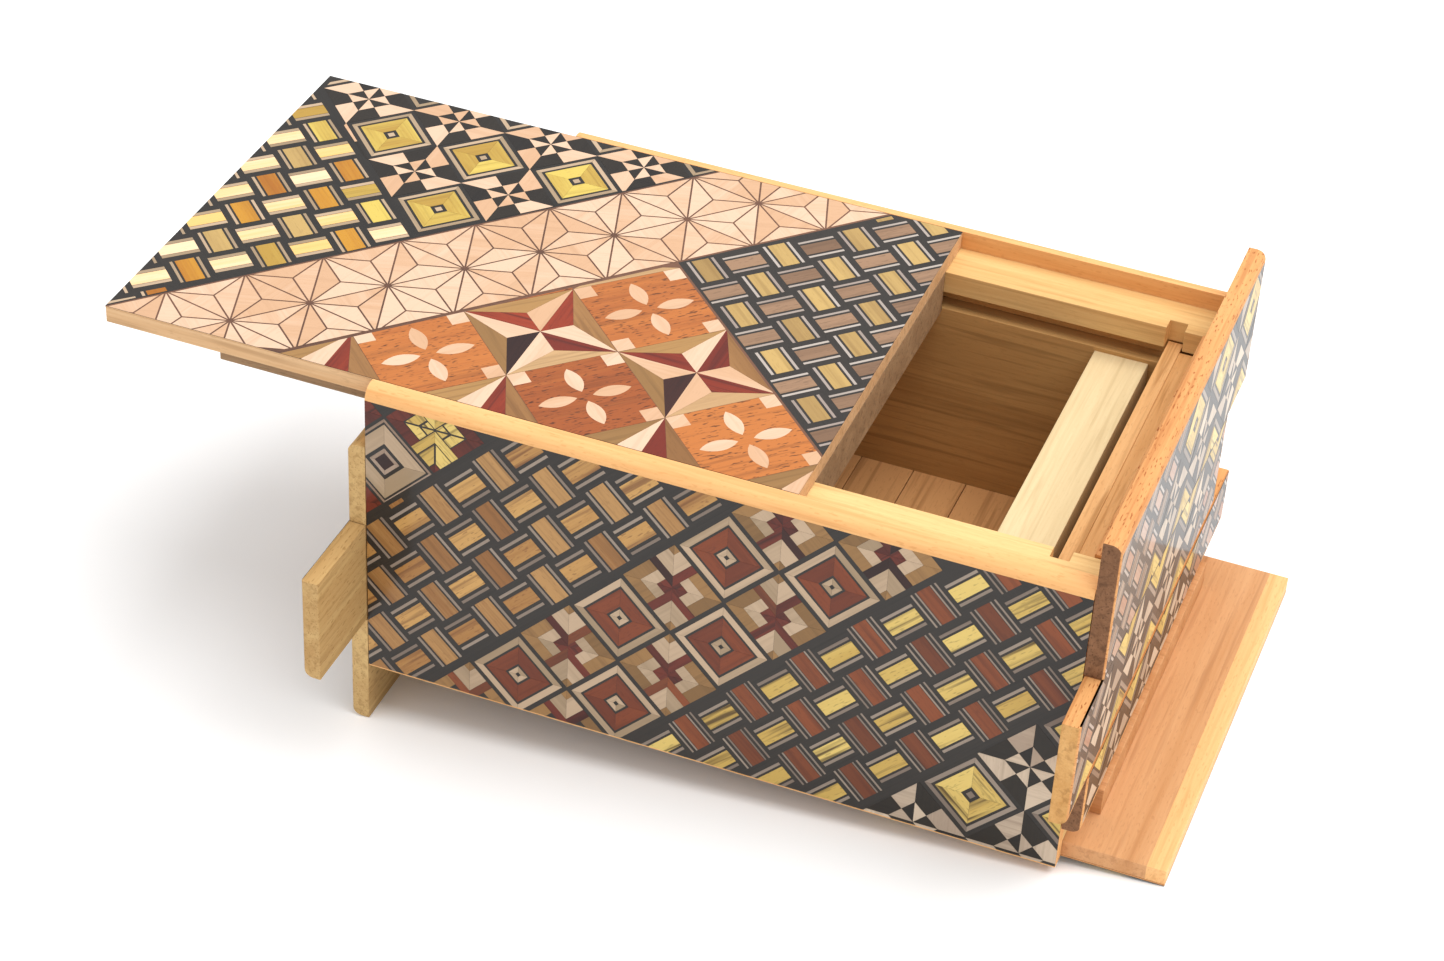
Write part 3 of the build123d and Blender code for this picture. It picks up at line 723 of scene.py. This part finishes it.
def marquetry(node, layout, moved=(0, 0, 0)):
    """The marquetry sheet in the place of a CAD veneer. moved is how far its panel has slid from the closed
    box, in millimetres, so that the pattern runs on from panel to panel when the box is closed."""
    box = bpy.context.scene.puzzle_box
    low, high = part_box(node)
    right, up, window, core = SHEETS[layout]
    right, up = Vector(right), Vector(up)
    out = right.cross(up)
    middle = CASE_MIDDLE + Vector(moved)
    corners = [(low / MM - middle), (high / MM - middle)]
    columns = sorted(c.dot(right) for c in corners)
    rows = sorted(c.dot(up) for c in corners)
    heights = sorted(c.dot(out) for c in corners)
    tiles = [(oblong(*columns, *rows), core, 0, -2)] + sheet_tiles(layout, rows, columns, window)
    kinds = sorted({t[1] for t in tiles})
    pick = random.Random(node + str(box.seed))
    lift = box.lift / MM
    slip_thick = SLIPS_PER_LIFT * lift
    points, faces, grain, layers, slips, numbers = [], [], [], [], [], []
    for count, (outline, kind, angle, layer) in enumerate(tiles):
        top = heights[1] - lift * (1 - layer)
        base = top - slip_thick
        if layer < 0:
            base = heights[0] if layer < -1 else heights[1] - CORE_UNDER
        cosine, sine = math.cos(math.radians(angle)), math.sin(math.radians(angle))
        shift = [pick.uniform(-500, 500) for _ in range(3)]
        faces.append(list(range(len(points), len(points) + len(outline))))
        for x, y in outline:
            points.append((middle + right * x + up * y + out * base) * MM)
            grain += [x * cosine + y * sine + shift[0], y * cosine - x * sine + shift[1], shift[2]]
            slips.append(count)
        layers.append(layer)
        numbers.append(kinds.index(kind))
    mesh = bpy.data.meshes.new(node + "_flat")
    mesh.from_pydata(points, [], faces)
    mesh.attributes.new("grain", "FLOAT_VECTOR", "POINT").data.foreach_set("vector", grain)
    mesh.attributes.new("slip", "INT", "POINT").data.foreach_set("value", slips)
    mesh.attributes.new("layer", "INT", "FACE").data.foreach_set("value", layers)
    mesh.attributes.new("kind", "INT", "FACE").data.foreach_set("value", numbers)
    flat = bpy.data.objects.new(node + "_flat", mesh)
    bpy.context.scene.collection.objects.link(flat)
    modifier = flat.modifiers.new("Marquetry sheet", "NODES")
    modifier.node_group = inlay_tree(kinds)
    set_input(modifier, "Core thickness", (heights[1] - CORE_UNDER - heights[0]) * MM)
    set_input(modifier, "Ground thickness", (CORE_UNDER - 2 * lift) * MM)
    set_input(modifier, "Slip thickness", slip_thick * MM)
    set_input(modifier, "Wood seed", box.seed)
    piece = settle(flat, node + "_marquetry")
    for name in ("slip", "layer", "kind"):
        if name in piece.data.attributes:
            piece.data.attributes.remove(piece.data.attributes[name])
    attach(piece, frame["nodes"][node]["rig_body"])
    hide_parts(node)
    return piece


# ---- floor slats -------------------------------------------------------------------------------
def slat_tree(kind):
    """Lays one eased slat again and again along X, each with its own grain."""
    tree, entry = new_tree("Floor slats", {"Count": "Int", "Pitch": "Float", "Wood seed": "Int"})
    step = add(tree, "ShaderNodeCombineXYZ", None, {"X": entry.outputs["Pitch"]})
    row = add(tree, "GeometryNodeMeshLine", {"mode": "OFFSET"},
              {"Count": entry.outputs["Count"], "Offset": step.outputs[0]})
    laid = add(tree, "GeometryNodeInstanceOnPoints", None,
               {"Points": row.outputs[0], "Instance": entry.outputs["Geometry"]})
    chance = add(tree, "FunctionNodeRandomValue", {"data_type": "FLOAT_VECTOR", 0: (-400, -400, -400),
                                                   1: (400, 400, 400)}, {"Seed": entry.outputs["Wood seed"]})
    marked = add(tree, "GeometryNodeStoreNamedAttribute",
                 {"data_type": "FLOAT_VECTOR", "domain": "INSTANCE", "Name": "shift"},
                 {"Geometry": laid.outputs[0], "Value": chance.outputs[0]})
    whole = add(tree, "GeometryNodeRealizeInstances", None, {"Geometry": marked.outputs[0]})
    shift = add(tree, "GeometryNodeInputNamedAttribute", {"data_type": "FLOAT_VECTOR", "Name": "shift"})
    place = add(tree, "GeometryNodeInputPosition")
    parts = add(tree, "ShaderNodeSeparateXYZ", None, {0: place.outputs[0]})
    turned = add(tree, "ShaderNodeCombineXYZ", None,
                 {0: parts.outputs[1], 1: parts.outputs[0], 2: parts.outputs[2]})
    size = add(tree, "ShaderNodeVectorMath", {"operation": "SCALE", "Scale": 1 / MM}, {0: turned.outputs[0]})
    grain = add(tree, "ShaderNodeVectorMath", {"operation": "ADD"}, {0: size.outputs[0], 1: shift.outputs[0]})
    stored = add(tree, "GeometryNodeStoreNamedAttribute",
                 {"data_type": "FLOAT_VECTOR", "domain": "POINT", "Name": "grain"},
                 {"Geometry": whole.outputs[0], "Value": grain.outputs[0]})
    last = add(tree, "GeometryNodeSetMaterial", {"Material": wood(kind)}, {"Geometry": stored.outputs[0]})
    leave = add(tree, "NodeGroupOutput")
    tree.links.new(last.outputs[0], leave.inputs[0])
    return tree


def floor_slats():
    """The compartment's floor: thin slats laid side by side across the box."""
    node = "floor_slats"
    box = bpy.context.scene.puzzle_box
    low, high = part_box(node)
    count = int(round((high.x - low.x) / (SLAT_W + SLAT_GAP) + 0.4))
    pitch = (high.x - low.x + SLAT_GAP) / count
    shape = bmesh.new()
    bmesh.ops.create_cube(shape, size=1)
    size = Vector((pitch - SLAT_GAP, high.y - low.y, high.z - low.z))
    for vertex in shape.verts:
        vertex.co = Vector([low[i] + (vertex.co[i] + 0.5) * size[i] for i in range(3)])
    bmesh.ops.bevel(shape, geom=shape.edges[:], offset=box.ease * 0.8, segments=2, affect="EDGES",
                    profile=0.5)
    mesh = bpy.data.meshes.new("one_slat")
    shape.to_mesh(mesh)
    shape.free()
    one = bpy.data.objects.new("one_slat", mesh)
    bpy.context.scene.collection.objects.link(one)
    modifier = one.modifiers.new("Floor slats", "NODES")
    modifier.node_group = slat_tree("floor_russet")
    set_input(modifier, "Count", count)
    set_input(modifier, "Pitch", pitch)
    set_input(modifier, "Wood seed", box.seed)
    piece = settle(one, "floor_slats_wood")
    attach(piece, "carcass")
    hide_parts(node)


# ---- operators ---------------------------------------------------------------------------------
def lay_boards(rows):
    """Build boards from rows of node names, wood, grain axis and slot; the slot is not used."""
    for names, kind, along, slot in rows:
        for name in names.split():
            board(name, kind, along)


class PUZZLE_OT_carcass(bpy.types.Operator):
    """Build the fixed carcass: long boards, rails, walls, floor and lock teeth"""
    bl_idname = "puzzle_box.carcass"
    bl_label = "Build Carcass"

    def execute(self, context):
        lay_boards([
            ("front_board back_board", "hinoki_edge", "x", "carcass_wood"),
            ("front_upper_rail back_upper_rail", "rail_pale", "x", "rail_wood"),
            ("front_upper_groove_strip back_upper_groove_strip", "ho_tan", "x", "carcass_wood"),
            ("front_inner_wall back_inner_wall", "wall_olive", "x", "inner_wood"),
            ("front_lower_groove_strip back_lower_groove_strip", "ho_tan", "x", "carcass_wood"),
            ("front_lower_rail back_lower_rail", "rail_pale", "x", "rail_wood"),
            ("left_inner_end_wall right_inner_end_wall", "end_wall_cream", "y", "pale_wood"),
            ("left_lock_tooth right_lock_tooth", "ho_tan", "y", "inner_wood"),
        ])
        floor_slats()
        marquetry("front_veneer", "front")
        marquetry("back_veneer", "back")
        return {"FINISHED"}


class PUZZLE_OT_lid(bpy.types.Operator):
    """Build the sliding lid with its block and runners"""
    bl_idname = "puzzle_box.lid"
    bl_label = "Build Lid"

    def execute(self, context):
        lay_boards([
            ("lid_board", "lid_tan", "x", "lid_wood"), ("lid_block", "block_grey", "x", "lid_wood"),
            ("lid_front_runner lid_back_runner", "ho_tan", "x", "lid_wood"),
        ])
        marquetry("lid_veneer", "lid", (-LID_OPEN, 0, 0))
        return {"FINISHED"}


class PUZZLE_OT_bottom(bpy.types.Operator):
    """Build the sliding bottom with its block and runners"""
    bl_idname = "puzzle_box.bottom"
    bl_label = "Build Bottom"

    def execute(self, context):
        lay_boards([
            ("bottom_block", "bottom_orange", "x", "bottom_wood"),
            ("bottom_front_runner bottom_back_runner", "ho_tan", "x", "bottom_wood"),
        ])
        # a strip of yellower wood is glued along the board's right edge
        plank = board("bottom_board", "bottom_orange", "y").data
        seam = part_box("bottom_board")[1].x - EDGE_STRIP
        shape = bmesh.new()
        shape.from_mesh(plank)
        bmesh.ops.bisect_plane(shape, geom=shape.verts[:] + shape.edges[:] + shape.faces[:], dist=1e-7,
                               plane_co=(seam, 0, 0), plane_no=(1, 0, 0))
        for face in shape.faces:
            face.material_index = int(face.calc_center_median().x > seam)
        shape.to_mesh(plank)
        shape.free()
        plank.materials.append(wood("hinoki_edge"))
        marquetry("bottom_veneer", "bottom", (BOTTOM_OPEN, 0, 0))
        return {"FINISHED"}


# each end panel's wood, and the woods of its strips' and its key's sawn ends where they differ
END_WOODS = {"left": ("keyaki_left", None, None), "right": ("keyaki_end", "keyaki_cut", "ho_tan")}


def end_panel(side, lift):
    """One end panel: two marquetry strips with their backings, spacers and guide tongue."""
    kind, cut, _ = END_WOODS[side]
    for part in ("upper", "lower"):
        board(f"{side}_{part}_strip", kind, "y", cut)
        board(f"{side}_{part}_backing", kind, "y")
        # the right end's upper spacer is a filler as high as the tongue beside it
        grown = FILLER_GROWTH if (side, part) == ("right", "upper") else (0, 0, 0)
        board(f"{side}_{part}_spacer", "tongue_brown", "y", None, grown)
        marquetry(f"{side}_{part}_veneer", side, (0, 0, lift))
    board(f"{side}_tongue", "tongue_brown", "y")


def key(side, lift, out):
    """The key that slides in the slot of an end panel."""
    kind, _, cut = END_WOODS[side]
    board(f"{side}_key_strip", kind, "y", cut)
    lay_boards([(f"{side}_key_catch {side}_key_neck", "ho_tan", "y", "inner_wood")])
    marquetry(f"{side}_key_veneer", side, (0, -out, lift))


class PUZZLE_OT_ends(bpy.types.Operator):
    """Build both sliding end panels"""
    bl_idname = "puzzle_box.ends"
    bl_label = "Build End Panels"

    def execute(self, context):
        end_panel("left", -LEFT_DROP)
        end_panel("right", RIGHT_LIFT)
        return {"FINISHED"}


class PUZZLE_OT_keys(bpy.types.Operator):
    """Build the two keys that lock the end panels"""
    bl_idname = "puzzle_box.keys"
    bl_label = "Build Keys"

    def execute(self, context):
        key("left", -LEFT_DROP, LEFT_KEY_OUT)
        key("right", RIGHT_LIFT, RIGHT_KEY_OUT)
        return {"FINISHED"}


def softbox(name, place, aim, size, watts):
    """A soft area light aimed at a point."""
    data = bpy.data.lights.new(name, "AREA")
    data.shape = "RECTANGLE"
    data.size, data.size_y = size
    data.energy = watts
    lamp = bpy.data.objects.new(name, data)
    lamp.location = place
    lamp.rotation_euler = (Vector(aim) - Vector(place)).to_track_quat("-Z", "Y").to_euler()
    bpy.context.scene.collection.objects.link(lamp)


class PUZZLE_OT_stage(bpy.types.Operator):
    """Lay the white sheet, light it softly and place the camera"""
    bl_idname = "puzzle_box.stage"
    bl_label = "Build Stage"

    def execute(self, context):
        scene = context.scene
        # the opened box leans on its lowered left end and the right edge of its bottom
        turn = Matrix.Rotation(-math.atan2(LEFT_DROP, FEET_APART), 4, "Y")
        sheet = bmesh.new()
        bmesh.ops.create_grid(sheet, x_segments=8, y_segments=8, size=2.5)
        for vertex in sheet.verts:
            vertex.co = turn @ vertex.co + FLOOR_ANCHOR
        mesh = bpy.data.meshes.new("paper_sheet")
        sheet.to_mesh(mesh)
        sheet.free()
        # white card: matt, no sheen, so shadows on it stay soft
        paper = bpy.data.materials.new("white_card")
        paper.use_nodes = True
        shader = paper.node_tree.nodes["Principled BSDF"]
        shader.inputs["Base Color"].default_value = (*linear("#fbfbfb"), 1)
        shader.inputs["Roughness"].default_value = 0.9
        mesh.materials.append(paper)
        floor = bpy.data.objects.new("paper_sheet", mesh)
        scene.collection.objects.link(floor)

        world = bpy.data.worlds.new("white_room")
        world.use_nodes = True
        world.node_tree.nodes["Background"].inputs["Color"].default_value = (1.0, 1.0, 1.0, 1)
        world.node_tree.nodes["Background"].inputs["Strength"].default_value = ROOM_LIGHT
        scene.world = world
        softbox("window", WINDOW_PLACE, WINDOW_AIM, WINDOW_SIZE, WINDOW_WATTS)
        scene.view_settings.view_transform = "Standard"

        data = bpy.data.cameras.new("camera")
        data.sensor_width = SENSOR_MM
        data.lens = LENS_MM
        camera = bpy.data.objects.new("camera", data)
        ahead = CAMERA_AHEAD.normalized()
        across = ahead.cross(CAMERA_ABOVE).normalized()
        above = across.cross(ahead)
        axes = Matrix((across, above, -ahead)).transposed().to_4x4()
        axes.translation = CAMERA_PLACE
        camera.matrix_world = axes
        scene.collection.objects.link(camera)
        scene.camera = camera
        return {"FINISHED"}


OPERATORS = (PUZZLE_OT_carcass, PUZZLE_OT_lid, PUZZLE_OT_bottom, PUZZLE_OT_ends, PUZZLE_OT_keys,
             PUZZLE_OT_stage)


class PUZZLE_PT_sidebar(bpy.types.Panel):
    """The puzzle box panel in the 3D view's sidebar"""
    bl_label = "Puzzle Box"
    bl_idname = "PUZZLE_PT_sidebar"
    bl_space_type = "VIEW_3D"
    bl_region_type = "UI"
    bl_category = "Puzzle Box"

    def draw(self, context):
        box = context.scene.puzzle_box
        for name in ("ease", "seam", "lift", "seed"):
            self.layout.prop(box, name)
        for operator in OPERATORS:
            self.layout.operator(operator.bl_idname)


CLASSES = (LightWoodColours, DarkWoodColours, PuzzleBoxSettings, *OPERATORS, PUZZLE_PT_sidebar)


def register():
    for cls in CLASSES:
        bpy.utils.register_class(cls)
    bpy.types.Scene.puzzle_box = PointerProperty(type=PuzzleBoxSettings)


def unregister():
    del bpy.types.Scene.puzzle_box
    for cls in reversed(CLASSES):
        bpy.utils.unregister_class(cls)


def main():
    """Build the whole box."""
    register()
    for operator in OPERATORS:
        group, name = operator.bl_idname.split(".")
        getattr(getattr(bpy.ops, group), name)()


if __name__ == "__main__":
    main()
